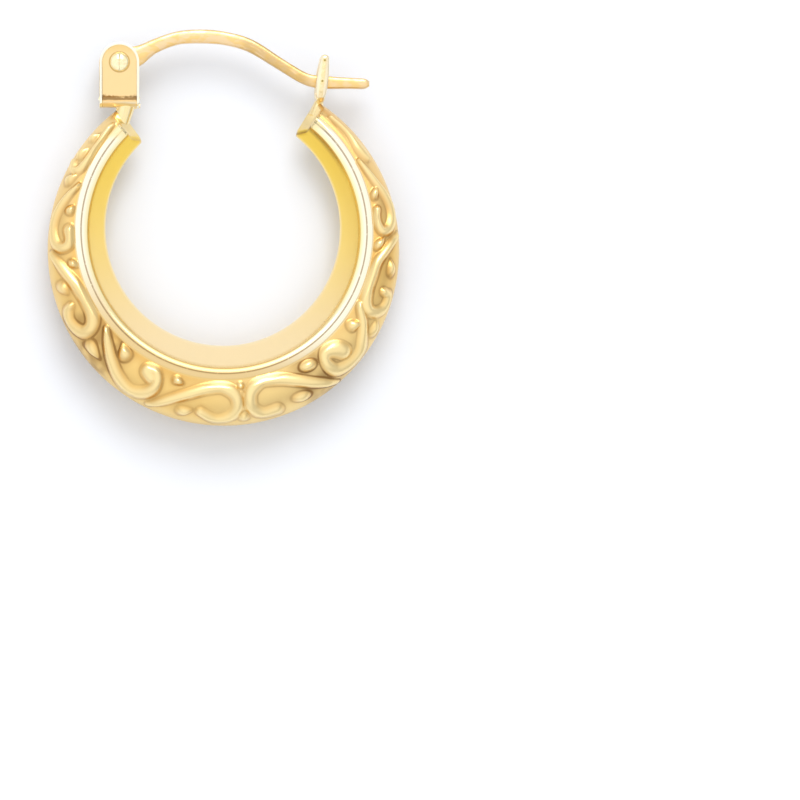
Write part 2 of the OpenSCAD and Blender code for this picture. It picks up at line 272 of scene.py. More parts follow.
# The ear wire: its thickness, the width below which it grows thinner too, its eye
# with the gap round the rivet and its rounded edge, and its middle line and width
WIRE_T = 0.72
WIRE_THIN = 0.6
EYE_R = 0.95
EYE_GAP = 0.03
EYE_BEVEL = 0.07
WIRE = [
    (-5.20, 10.97, 1.44),
    (-4.40, 11.25, 1.14),
    (-3.95, 11.48, 0.92),
    (-3.30, 11.80, 0.78),
    (-2.10, 12.16, 0.74),
    (-0.80, 12.20, 0.78),
    (0.60, 12.03, 0.74),
    (2.05, 11.54, 0.72),
    (3.70, 10.43, 0.65),
    (5.05, 9.56, 0.66),
    (6.05, 9.32, 0.72),
    (7.60, 9.19, 0.61),
    (8.40, 9.13, 0.58),
    (8.69, 9.11, 0.30),
]

# The soldered posts: the places of a post's top and foot round the hoop's centre,
# its radius at each, and the steps along it
POSTS = {
    "fork_post": ((-5.18, 8.5, 0), (-5.54, 7.3, 0), 0.54, 0.42),
    "fork_foot": ((-5.1, 8.32, 0), (-4.4, 8.4, 0), 0.16, 0.14),
    "catch_post": ((5.84, 8.4, 0), (5.6, 7.4, 0), 0.17, 0.5),
}
POST_STEPS = 8


def deselect():
    """Leaves edit mode and selects nothing."""
    if bpy.context.object and bpy.context.object.mode != "OBJECT":
        bpy.ops.object.mode_set(mode="OBJECT")
    bpy.ops.object.select_all(action="DESELECT")


def added(name, primitive, **sizes):
    """Adds a mesh primitive, named, alone in the selection and active."""
    deselect()
    primitive(**sizes)
    piece = bpy.context.object
    piece.name = name
    piece.data.name = name
    return piece


def choose(mesh, wanted, kind="VERT"):
    """Selects in edit mode the vertices or the faces that wanted() says."""
    bpy.ops.mesh.select_all(action="DESELECT")
    bpy.ops.mesh.select_mode(type=kind)
    shape = bmesh.from_edit_mesh(mesh)
    for part in {"VERT": shape.verts, "FACE": shape.faces}[kind]:
        part.select = wanted(part)
    shape.select_flush(True)
    bmesh.update_edit_mesh(mesh)


def pick(piece):
    """Selects one piece alone and makes it active."""
    deselect()
    piece.select_set(True)
    bpy.context.view_layer.objects.active = piece


def note(piece, **values):
    """Keeps numbers on a piece's vertices, for its finish to read."""
    for name, numbers in values.items():
        attribute = piece.data.attributes.new(name, "FLOAT", "POINT")
        attribute.data.foreach_set("value", np.array(numbers, np.float32))


def modify(piece, kind, **settings):
    """Adds a modifier to a piece and applies it."""
    modifier = piece.modifiers.new(kind.lower(), kind)
    for name, value in settings.items():
        setattr(modifier, name, value)
    pick(piece)
    bpy.ops.object.modifier_apply(modifier=modifier.name)


def outward(piece):
    """Merges doubles and turns every face outwards."""
    pick(piece)
    bpy.ops.object.mode_set(mode="EDIT")
    bpy.ops.mesh.select_all(action="SELECT")
    bpy.ops.mesh.remove_doubles(threshold=1e-7)
    bpy.ops.mesh.normals_make_consistent(inside=False)
    bpy.ops.object.mode_set(mode="OBJECT")


def smooth(piece, angle):
    """Shades smooth, with sharp edges over the angle."""
    pick(piece)
    bpy.ops.object.shade_smooth_by_angle(angle=math.radians(angle))


def settle(piece, turn=0.0, at=(0.0, 0.0, 0.0)):
    """Moves a mesh from its own millimetres to its place in the frame, in metres."""
    place = Vector(at) + HOOP_CENTRE
    turned = Matrix.Rotation(math.radians(turn), 4, "Z")
    piece.data.transform(Matrix.Scale(MM, 4) @ Matrix.Translation(place) @ turned)
    piece.matrix_world = Matrix.Identity(4)


def curve(rows):
    """A smooth curve through a table's rows."""
    table = np.array(rows, float)
    ends = np.vstack([2 * table[0] - table[1], table, 2 * table[-1] - table[-2]])
    points = []
    for i in range(1, len(ends) - 2):
        a, b, c, d = ends[i - 1 : i + 3]
        for k in range(CURVE_STEPS):
            t = k / CURVE_STEPS
            bend = 2 * a - 5 * b + 4 * c - d + t * (3 * (b - c) + d - a)
            points.append(b + 0.5 * t * (c - a + t * bend))
    points.append(table[-1])
    return np.array(points)


def off_centre(radius, rise, angle):
    """Distance from the hoop's centre to a circle whose centre is higher by rise."""
    turn = np.radians(angle)
    return -rise * np.cos(turn) + np.sqrt(radius**2 - (rise * np.sin(turn)) ** 2)


def crest_height(angle):
    """Half of the hoop's depth at an angle from its lowest point."""
    low = math.cos(math.radians(END_ANGLE))
    share = (np.cos(np.radians(angle)) - low) / (1 - low)
    return (DEPTH_END + (DEPTH_LOW - DEPTH_END) * share) / 2


def face_fall(angle, t):
    """Radius and height on the face, from the rim's foot (0) to the seam (1)."""
    foot = off_centre(RIM_R, RIM_RISE, angle) + FOOT_OUT
    top = crest_height(angle) - FOOT_DROP
    return foot + (HOOP_R - foot) * t, top * np.clip(1 - t**2, 0, 1) ** FACE_BULGE


def arc_from_seam(angle, t, steps=60):
    """Length along the face's surface from the outer seam to the place t."""
    run = np.linspace(1, 0, steps + 1)[:, None]
    ts = t + (1 - t) * run
    r, z = face_fall(angle, ts)
    return np.hypot(np.diff(r, axis=0), np.diff(z, axis=0)).sum(axis=0)


def across_chart(angle, t):
    """Chart distance, in millimetres, from the outer seam to the place t."""
    foot = off_centre(RIM_R, RIM_RISE, angle) + FOOT_OUT
    return (1 - CHART_SLOPE) * (HOOP_R - foot) * (1 - t) + CHART_SLOPE * arc_from_seam(angle, t)


def chart(rows):
    """Chart places and half widths, in millimetres, of rows of angle, share and width."""
    angle, share, half_w = np.array(rows, float).T
    return np.column_stack([np.radians(angle) * CHART_R, across_chart(angle, 1 - share), half_w])


def ridge(x, y, line):
    """Height, 0 to 1, and distance beyond the foot, of a rounded ridge along a chart line."""
    height = np.zeros_like(x)
    beyond = np.full_like(x, FAR_OFF)
    for a, b in zip(line[:-1], line[1:]):
        run = b[:2] - a[:2]
        off_x, off_y = x - a[0], y - a[1]
        t = np.clip((off_x * run[0] + off_y * run[1]) / max(run @ run, 1e-9), 0, 1)
        half_w = SPREAD * (a[2] + (b[2] - a[2]) * t)
        away = np.hypot(off_x - run[0] * t, off_y - run[1] * t)
        height = np.maximum(height, np.clip(1 - (away / half_w) ** 2, 0, 1) ** ROUNDNESS)
        beyond = np.minimum(beyond, away - half_w)
    return height, beyond


def drop(x, y, centre, long, wide, turn, taper):
    """Height, and distance beyond the foot, of a tapered oval on the chart."""
    c, s = math.cos(math.radians(turn)), math.sin(math.radians(turn))
    along = ((x - centre[0]) * c + (y - centre[1]) * s) / long
    aside = ((y - centre[1]) * c - (x - centre[0]) * s) / (wide * (1 - taper * np.clip(along, -1, 1)))
    away = np.hypot(along, aside)
    return np.clip(1 - (away / SPREAD) ** 2, 0, 1) ** ROUNDNESS, (away - SPREAD) * wide


def relief(x, y):
    """Height of the scrollwork over its chart, and how near a place is to a strand's foot."""
    height = np.zeros_like(x)
    beyond = np.full_like(x, FAR_OFF)

    def raise_to(near, rise, off):
        height[near] = np.maximum(height[near], rise)
        beyond[near] = np.minimum(beyond[near], off)

    strands = [(curve(rows), 1.0) for rows in SCROLLS.values()]
    for rows, share in [*strands, (STEM, STEM_SHARE)]:
        line = chart(rows)
        near = (x > line[:, 0].min() - BESIDE) & (x < line[:, 0].max() + BESIDE)
        rise, off = ridge(x[near], y[near], line)
        raise_to(near, rise * share, off)
    for angle, share, long, wide, turn, taper in DROPS:
        centre = chart([(angle, share, 0)])[0]
        near = abs(x - centre[0]) < BESIDE
        rise, off = drop(x[near], y[near], centre, long, wide, turn, taper)
        raise_to(near, rise, off)
    return height, beyond


def section_point(angle, step, inset):
    """Radius and height, outward normal and place on the face, of a step over half a section."""
    rim = off_centre(RIM_R, RIM_RISE, angle)
    hole = off_centre(HOLE_R, HOLE_RISE, angle)
    crest = crest_height(angle)
    corner = np.clip(1 - (END_ANGLE - np.abs(angle)) / CORNER_RUN, 0, 1)
    hole = hole + CORNER_R * (1 - np.sqrt(1 - corner**2))
    wall = np.clip(step / WALL_STEPS, 0, 1)
    last = math.radians(BEAD_INNER)
    bead_in = BEAD_IN - IN_NARROW * np.cos(np.radians(angle))
    wall_start = np.column_stack([hole + inset, np.zeros_like(angle)])
    wall_end = np.column_stack([
        rim + (bead_in - inset) * math.cos(last),
        crest - inset - IN_FALL * (1 - math.sin(last)),
    ])
    over = np.clip((step - WALL_STEPS) / (CREST_STEP - WALL_STEPS), 0, 2)
    inward = over < 1
    turn = np.where(inward, BEAD_INNER + (90 - BEAD_INNER) * over, 90 + (BEAD_OUTER - 90) * (over - 1))
    turn = np.radians(turn)
    swell = WALL_BULGE * 4 * wall * (1 - wall)
    on_wall = wall_start + (wall_end - wall_start) * wall[:, None] + np.column_stack([-swell, swell])
    out = (np.where(inward, bead_in, BEAD_OUT) - inset) * np.cos(turn)
    down = np.where(inward, IN_FALL, OUT_FALL) * (1 - np.sin(turn))
    on_bead = np.column_stack([rim + out, crest - inset - down])
    share = np.clip((step - FOOT_STEP) / FACE_STEPS, 0, 1)
    t = 1 - (1 - share) ** FACE_GATHER
    foot = rim + FOOT_OUT - inset
    top = crest - FOOT_DROP - inset
    drop = np.clip(1 - t**2, 0, 1)
    on_face = np.column_stack([foot + (HOOP_R - inset - foot) * t, top * drop**FACE_BULGE])
    is_wall = (step <= WALL_STEPS)[:, None]
    is_face = (step > FOOT_STEP)[:, None]
    place = np.where(is_wall, on_wall, np.where(is_face, on_face, on_bead))
    slope = top * FACE_BULGE * 2 * t * np.maximum(drop, 1e-3) ** (FACE_BULGE - 1)
    normal = np.column_stack([slope, HOOP_R - foot])
    normal /= np.linalg.norm(normal, axis=1)[:, None]
    return place, normal, np.where(step > FOOT_STEP, np.maximum(t, 1e-6), 0)


def hoop_shell():
    """The two stamped halves: a sheet rolled into a section and bent round the hoop."""
    rings = STATIONS + 2 * END_RINGS
    shell = added(
        "hoop_shell",
        bpy.ops.mesh.primitive_grid_add,
        x_subdivisions=rings,
        y_subdivisions=RING_POINTS,
        size=1,
    )
    mesh = shell.data
    flat = np.empty(len(mesh.vertices) * 3)
    mesh.vertices.foreach_get("co", flat)
    flat = flat.reshape(-1, 3)
    station = np.rint((flat[:, 0] + 0.5) * rings)
    spoke = np.rint((flat[:, 1] + 0.5) * RING_POINTS)

    # The ends are rounded: their last rings shrink and run a little further
    past = np.maximum(np.maximum(END_RINGS - station, station - STATIONS - END_RINGS), 0) / END_RINGS
    along = np.clip(station - END_RINGS, 0, STATIONS) / STATIONS
    angle = END_ANGLE * (2 * along - 1)
    inset = END_ROUND * (1 - np.cos(past * math.pi / 2))
    further = np.sign(angle) * np.degrees(END_ROUND * (np.sin(past * math.pi / 2) - 1) / HOOP_R)
    angle = angle + np.where(np.abs(angle) > END_ANGLE - 0.01, further, 0)

    upper = spoke <= HALF_STEPS
    step = np.where(upper, spoke, RING_POINTS - spoke)
    base, normal, face_share = section_point(angle, step, inset)
    x = np.radians(angle) * CHART_R
    t = np.clip(face_share, 0, 1)
    on_face = face_share > 0
    height, beyond = np.zeros(len(x)), np.full(len(x), FAR_OFF)
    y = across_chart(angle[on_face], t[on_face])
    height[on_face], beyond[on_face] = relief(x[on_face], y)
    fade = np.clip((END_ANGLE - np.abs(angle)) / RELIEF_FADE, 0, 1)
    edges = np.clip((1 - t) * RELIEF_EDGES, 0, 1) * np.clip(t * RELIEF_EDGES, 0, 1)
    lift = RELIEF_H * height * fade * edges
    place = base + normal * lift[:, None]
    place[:, 1] *= np.where(upper, 1, -1)
    slant = np.clip(1 - np.abs(place[:, 1]) / crest_height(angle) / END_SLANT, 0, 1)
    skewed = np.radians(angle * (1 + END_DRAFT * slant))
    final = np.column_stack([place[:, 0] * np.sin(skewed), -place[:, 0] * np.cos(skewed), place[:, 1]])
    mesh.vertices.foreach_set("co", final.ravel())
    mesh.update()

    # Painted brown shade for the creases and the ground's patches, fading at the ends
    tan = sum(share * np.exp(-(((angle - middle) / width) ** 2)) for middle, width, share in TAN_PLACES)
    note(
        shell,
        raised=height * fade,
        beyond=np.clip(beyond, -1, 1),
        tan=np.clip(TAN_EVERYWHERE + tan, 0, 1) * fade,
        fall=t,
        step=step,
        end=past - np.clip((END_ANGLE - np.abs(angle)) / END_LINE, 0, 1),
    )
    outward(shell)

    # Each end is closed in two halves that meet in the seam
    bpy.ops.object.mode_set(mode="EDIT")
    for end in (-1, 1):
        for side in (1, -1):
            choose(mesh, lambda v: v.is_boundary and v.co.x * end > 0 and v.co.z * side > -1e-5)
            bpy.ops.mesh.edge_face_add()
            bpy.ops.mesh.quads_convert_to_tris(quad_method="BEAUTY", ngon_method="BEAUTY")
    bpy.ops.object.mode_set(mode="OBJECT")
    outward(shell)
    smooth(shell, angle=50)
    settle(shell)
    return shell


def drawn_out(name, profile, rows):
    """A bar: its profile is extruded from row to row, each a function of a profile point."""
    piece = added(name, bpy.ops.mesh.primitive_circle_add, vertices=len(profile), fill_type="NGON")
    bpy.ops.object.mode_set(mode="EDIT")
    bpy.ops.mesh.select_all(action="SELECT")
    shape = bmesh.from_edit_mesh(piece.data)
    spoke = shape.verts.layers.int.new("spoke")
    for number, vert in enumerate(shape.verts):
        vert[spoke] = number
    for number, row in enumerate(rows):
        if number:
            bpy.ops.mesh.extrude_region_move()
        shape = bmesh.from_edit_mesh(piece.data)
        spoke = shape.verts.layers.int["spoke"]
        for vert in shape.verts:
            if vert.select:
                vert.co = row(profile[vert[spoke]])
        bmesh.update_edit_mesh(piece.data)
    bpy.ops.object.mode_set(mode="OBJECT")
    piece.data.attributes.remove(piece.data.attributes["spoke"])
    outward(piece)
    return piece


def round_profile(points, squareness=2.0):
    """A ring of unit points, from round (2) towards square (8)."""
    ring = []
    for k in range(points):
        turn = 2 * math.pi * k / points
        c, s = math.cos(turn), math.sin(turn)
        size = (abs(c) ** squareness + abs(s) ** squareness) ** (-1 / squareness)
        ring.append(Vector((c * size, s * size, 0)))
    return ring


def row_maker(place, run, deep, wide, thick):
    """Places a profile point at a row: x goes across the run, y goes along deep."""
    across = Vector(run).normalized().cross(Vector(deep)).normalized()
    upright = Vector(deep)
    return lambda p: Vector(place) + across * (p.x * wide / 2) + upright * (p.y * thick / 2)


def ear_wire():
    """A flat forged wire with soft edges, and the eye that turns on the rivet."""
    line = curve(WIRE)
    rows = []
    for i, (x, y, width) in enumerate(line):
        run = line[min(i + 1, len(line) - 1)] - line[max(i - 1, 0)]
        thick = WIRE_T * min(1.0, 0.5 + width / WIRE_THIN * 0.5)
        rows.append(row_maker((x, y, 0), (run[0], run[1], 0), (0, 0, 1), width, thick))
    wire = drawn_out("ear_wire_forged", round_profile(28, squareness=5.0), rows)
    eye = added(
        "eye",
        bpy.ops.mesh.primitive_cylinder_add,
        vertices=96,
        radius=EYE_R,
        depth=WIRE_T,
        location=RIVET_AT,
    )
    bpy.ops.object.transform_apply(location=True)
    modify(eye, "BEVEL", width=EYE_BEVEL, segments=3, limit_method="ANGLE")
    modify(wire, "BOOLEAN", operation="UNION", object=eye, solver="EXACT")
    bore = added(
        "bore",
        bpy.ops.mesh.primitive_cylinder_add,
        vertices=64,
        radius=RIVET_R + EYE_GAP,
        depth=3 * WIRE_T,
        location=RIVET_AT,
    )
    bpy.ops.object.transform_apply(location=True)
    modify(wire, "BOOLEAN", operation="DIFFERENCE", object=bore, solver="EXACT")
    for tool in (eye, bore):
        bpy.data.objects.remove(tool)
    smooth(wire, angle=40)
    settle(wire)
    return wire


def strap_place(x, along, deep):
    """A point of the flat strap on the folded one: along it from the front rivet."""
    straight = FORK_REACH - FOLD_R
    quarter = FOLD_R * math.pi / 2
    flat = FORK_DEPTH - 2 * FOLD_R
    if along > straight + quarter + flat / 2:
        mirrored = strap_place(x, 2 * (straight + quarter) + flat - along, deep)
        return Vector((mirrored.x, mirrored.y, -mirrored.z))
    if along < straight:
        return Vector((x, -along, FORK_DEPTH / 2 - deep))
    if along < straight + quarter:
        turn = (along - straight) / FOLD_R
        r = FOLD_R - deep
        return Vector((x, -straight - r * math.sin(turn), flat / 2 + r * math.cos(turn)))
    return Vector((x, -FORK_REACH + deep, flat / 2 - (along - straight - quarter)))


def hinge_fork():
    """A strap with round ends, folded into two ears, with a bright edge and a scored line."""
    length = 2 * (FORK_REACH - FOLD_R) + FOLD_R * math.pi + FORK_DEPTH - 2 * FOLD_R
    strap = added(
        "hinge_fork",
        bpy.ops.mesh.primitive_circle_add,
        vertices=96,
        radius=FORK_W / 2,
        fill_type="NGON",
    )
    bpy.ops.object.mode_set(mode="EDIT")
    choose(strap.data, lambda v: v.co.y < -1e-4)
    bpy.ops.transform.translate(value=(0, -length, 0))
    choose(strap.data, lambda f: True, kind="FACE")
    bpy.ops.mesh.inset(thickness=BORDER_W, depth=0)
    bpy.ops.mesh.inset(thickness=SLOPE_W, depth=-FIELD_DEEP)
    cuts = [length * k / STRAP_CUTS for k in range(1, STRAP_CUTS)]
    for edge in SCORE_EDGES:
        cuts += [edge, length - edge]
    for along in cuts:
        bpy.ops.mesh.select_all(action="SELECT")
        bpy.ops.mesh.bisect(plane_co=(0, -along, 0), plane_no=(0, 1, 0))

    # The scored line's floor, between its two middle cuts, is pressed in
    hair = 0.005
    low, high = SCORE_EDGES[1] - hair, SCORE_EDGES[2] + hair

    def scored(vert):
        along = min(-vert.co.y, length + vert.co.y)
        return abs(vert.co.x) < FIELD_HALF and low < along < high

    choose(strap.data, scored)
    bpy.ops.transform.translate(value=(0, 0, -SCORE_DEEP))
    bpy.ops.object.mode_set(mode="OBJECT")
    modify(strap, "SOLIDIFY", thickness=EAR_T, offset=-1)
    steep = math.radians(60)
    modify(strap, "BEVEL", width=STRAP_BEVEL, segments=3, limit_method="ANGLE", angle_limit=steep)
    note(
        strap,
        across=[vert.co.x for vert in strap.data.vertices],
        along=[min(-vert.co.y, length + vert.co.y) for vert in strap.data.vertices],
    )
    for vert in strap.data.vertices:
        vert.co = strap_place(vert.co.x, -vert.co.y, -vert.co.z)
    outward(strap)
    smooth(strap, angle=30)
    settle(strap, -FORK_LEAN, RIVET_AT)
    return strap


def hinge_rivet():
    """Two domed heads on a shank, each with a fine file mark over it."""
    rivet = added(
        "hinge_rivet_domed",
        bpy.ops.mesh.primitive_uv_sphere_add,
        segments=64,
        ring_count=48,
        radius=RIVET_HEAD_R,
    )

    # A ball is pulled apart at its middle ring, and the mark fades at a head's edge
    for vert in rivet.data.vertices:
        side = 1 if vert.co.z > 0 else -1
        rise = abs(vert.co.z) / RIVET_HEAD_R
        if rise < 0.03:
            vert.co.z = 0
            continue
        mark = MARK_DEEP * math.exp(-((vert.co.x / MARK_HALF) ** 2)) * min(1, rise * 2)
        vert.co.z = side * (FORK_DEPTH / 2 - HEAD_SUNK + RIVET_HEAD_H * rise**HEAD_DOME - mark)
    shank_r = RIVET_R / RIVET_HEAD_R
    for vert in rivet.data.vertices:
        if abs(vert.co.z) < FORK_DEPTH / 4:
            vert.co.x *= shank_r
            vert.co.y *= shank_r
    outward(rivet)
    smooth(rivet, angle=60)
    settle(rivet, -FORK_LEAN, RIVET_AT)
    return rivet


def catch_line():
    """The wire of the catch from one prong's tip round its base to the other, seen from the side."""
    finger = (MOUTH_W + PRONG_T) / 2
    side = LOOP_R + PRONG_T / 2
    bend = BEND_R + PRONG_T / 2
    half = [(finger, CATCH_H - below) for below, _ in TIP_ROWS]
    start = Vector(half[-1])
    lean = Vector((side, bend + PRONG_T / 2)) - start
    for k in range(1, PRONG_STEPS + 1):
        half.append(tuple(start + lean * k / PRONG_STEPS))
    for k in range(1, BEND_STEPS + 1):
        turn = math.radians(90 * k / BEND_STEPS)
        half.append((side - bend * (1 - math.cos(turn)), PRONG_T / 2 + bend * (1 - math.sin(turn))))
    half.append((0.0, PRONG_T / 2))
    return half + [(-z, y) for z, y in half[-2::-1]]


def catch_prongs():
    """The catch: one wire bent to a base, its two ends standing up as prongs."""
    line = catch_line()
    heights, widths = zip(*CATCH_WIDTHS)
    rows = []
    last = len(line) - 1
    for i, (z, y) in enumerate(line):
        before, after = line[max(i - 1, 0)], line[min(i + 1, last)]
        run = (0, after[1] - before[1], after[0] - before[0])
        wide = float(np.interp(y / CATCH_H, heights, widths))
        normal = Vector(run).normalized().cross(Vector((1, 0, 0)))
        tip_row = min(i, last - i, len(TIP_ROWS) - 1)
        share = TIP_ROWS[tip_row][1]
        rows.append(row_maker((0, y, z), run, normal, wide * share, PRONG_T * share))
    prongs = drawn_out("catch_prongs", round_profile(24, squareness=2.3), rows)
    note(
        prongs,
        across=[vert.co.x for vert in prongs.data.vertices],
        along=[vert.co.y for vert in prongs.data.vertices],
    )
    smooth(prongs, angle=60)
    settle(prongs, -CATCH_LEAN, CATCH_AT)
    return prongs


def post(name, top, foot, top_r, foot_r):
    """A short round post of wire and solder between two places."""
    rows = []
    start, end = Vector(top), Vector(foot)
    run = end - start
    for k in range(POST_STEPS + 1):
        share = k / POST_STEPS
        size = 2 * (top_r + (foot_r - top_r) * share)
        rows.append(row_maker(start + run * share, run, (0, 0, 1), size, size))
    piece = drawn_out(name, round_profile(24), rows)
    smooth(piece, angle=60)
    settle(piece)
    return piece


class Value:
    """A shader value: an expression on it adds its Math nodes."""

    def __init__(self, finish, socket):
        self.finish = finish
        self.socket = socket

    def math(self, operation, first, second):
        return self.finish.node("ShaderNodeMath", {"operation": operation}, {0: first, 1: second})

    def __add__(self, other):
        return self.math("ADD", self, other)

    __radd__ = __add__

    def __sub__(self, other):
        return self.math("SUBTRACT", self, other)

    def __rsub__(self, other):
        return self.math("SUBTRACT", other, self)

    def __mul__(self, other):
        return self.math("MULTIPLY", self, other)

    __rmul__ = __mul__

    def __pow__(self, other):
        return self.math("POWER", self, other)


class Finish:
    """A finish being made: its material or world, and the nodes that feed its shader."""

    def __init__(self, name, owner=None, **fixed):
        self.owner = owner or bpy.data.materials.new(name)
        self.owner.use_nodes = True
        self.tree = self.owner.node_tree
        kept = "Principled BSDF" if owner is None else "Background"
        self.shader = self.tree.nodes[kept]
        for name, value in fixed.items():
            self.shader.inputs[name.replace("_", " ")].default_value = value

    def node(self, kind, settings=None, sockets=None, out=0):
        """Adds a node: its settings first, then the values or links of its sockets."""
        node = self.tree.nodes.new(kind)
        for name, value in (settings or {}).items():
            setattr(node, name, value)
        for name, value in (sockets or {}).items():
            self.feed(node.inputs[name], value)
        return Value(self, node.outputs[out])

    def feed(self, socket, value):
        """Links a value to a socket, or sets a plain number or colour on it."""
        if isinstance(value, Value):
            self.tree.links.new(value.socket, socket)
        elif isinstance(value, tuple) and len(value) == 3 and len(socket.default_value) == 4:
            socket.default_value = (*value, 1)
        else:
            socket.default_value = value

    def set(self, name, value):
        self.feed(self.shader.inputs[name], value)

    def attribute(self, name):
        return self.node("ShaderNodeAttribute", {"attribute_name": name}, out=2)

    def place(self):
        """The place on the object, in millimetres, as a vector."""
        coordinates = self.node("ShaderNodeTexCoord", out=3)
        scaled = {"operation": "SCALE"}
        return self.node("ShaderNodeVectorMath", scaled, {"Vector": coordinates, "Scale": 1 / MM})

    def part(self, vector, axis):
        return self.node("ShaderNodeSeparateXYZ", sockets={"Vector": vector}, out=axis)

    def noise(self, vector, scale, detail, stretch=(1, 1, 1)):
        stretched = self.node("ShaderNodeVectorMath", {"operation": "MULTIPLY"}, {0: vector, 1: stretch})
        sockets = {"Vector": stretched, "Scale": scale, "Detail": detail}
        return self.node("ShaderNodeTexNoise", {"noise_dimensions": "3D"}, sockets)

    def step(self, value, low, high):
        """0 below low, 1 above high, and smooth between them."""
        sockets = {"Value": value, "From Min": low, "From Max": high}
        return self.node("ShaderNodeMapRange", {"interpolation_type": "SMOOTHSTEP"}, sockets)

    def band(self, value, middle, half):
        """1 at the middle, 0 further than half from it, and smooth between them."""
        off = value - middle
        return 1 - self.step(off.math("ABSOLUTE", off, 0.0), 0.0, half)

    def mix(self, share, first, second):
        """A colour between two colours."""
        return self.node("ShaderNodeMix", {"data_type": "RGBA"}, {0: share, 6: first, 7: second}, out=2)

    def bump(self, height, strength, distance):
        sockets = {"Height": height, "Strength": strength, "Distance": distance * MM}
        self.set("Normal", self.node("ShaderNodeBump", sockets=sockets))


# The metal's colours: the hoop's face, its rim, wall and ends, then the fork, the
# rivet and the solder, the ear wire, the catch, and the paper. Some are painted light, shade and
# reflection, as said where they are used.
SATIN_GOLD = (0.85, 0.57, 0.19)
SHADED_GOLD = (0.71, 0.41, 0.11)
LIT_GOLD = (0.95, 0.75, 0.36)
PAINTED_HIGHLIGHT_GOLD = (0.98, 0.79, 0.40)
WEAR_AND_SHADOW_GOLD = (0.55, 0.36, 0.13)
BROWN = (0.30, 0.16, 0.05)
RIM_HIGHLIGHT_GOLD = (1.0, 0.95, 0.76)
CREAM_GOLD = (0.98, 0.84, 0.45)
LOW_CREAM_SHADED = (0.50, 0.33, 0.12)
LOW_RIM_SHADED = (0.79, 0.59, 0.29)
END_GOLD = (0.98, 0.78, 0.39)
WALL_GOLD = (0.95, 0.755, 0.43)
DEEP_GOLD = (0.96, 0.70, 0.19)
HIGH_GOLD = (0.93, 0.66, 0.11)
TAN_GOLD = (0.80, 0.56, 0.20)
ROSE = (0.93, 0.68, 0.34)
FIELD_GOLD = (0.92, 0.68, 0.34)
BORDER_HIGHLIGHT_GOLD = (1.0, 0.96, 0.78)
RIVET_GOLD = (1.0, 0.92, 0.60)
SOLDER_GOLD = (0.97, 0.80, 0.42)
PALE_GOLD = (0.97, 0.80, 0.47)
HONEY_GOLD = (0.87, 0.65, 0.38)
WIRE_ROSE = (0.88, 0.64, 0.345)
ORANGE = (0.95, 0.62, 0.22)
LIGHT_GOLD = (0.96, 0.84, 0.60)
OLIVE = (0.85, 0.68, 0.37)
PIT = (0.40, 0.30, 0.08)
PAPER = (0.787, 0.812, 0.867)
PAPER_LIGHT = (0.807, 0.832, 0.887)


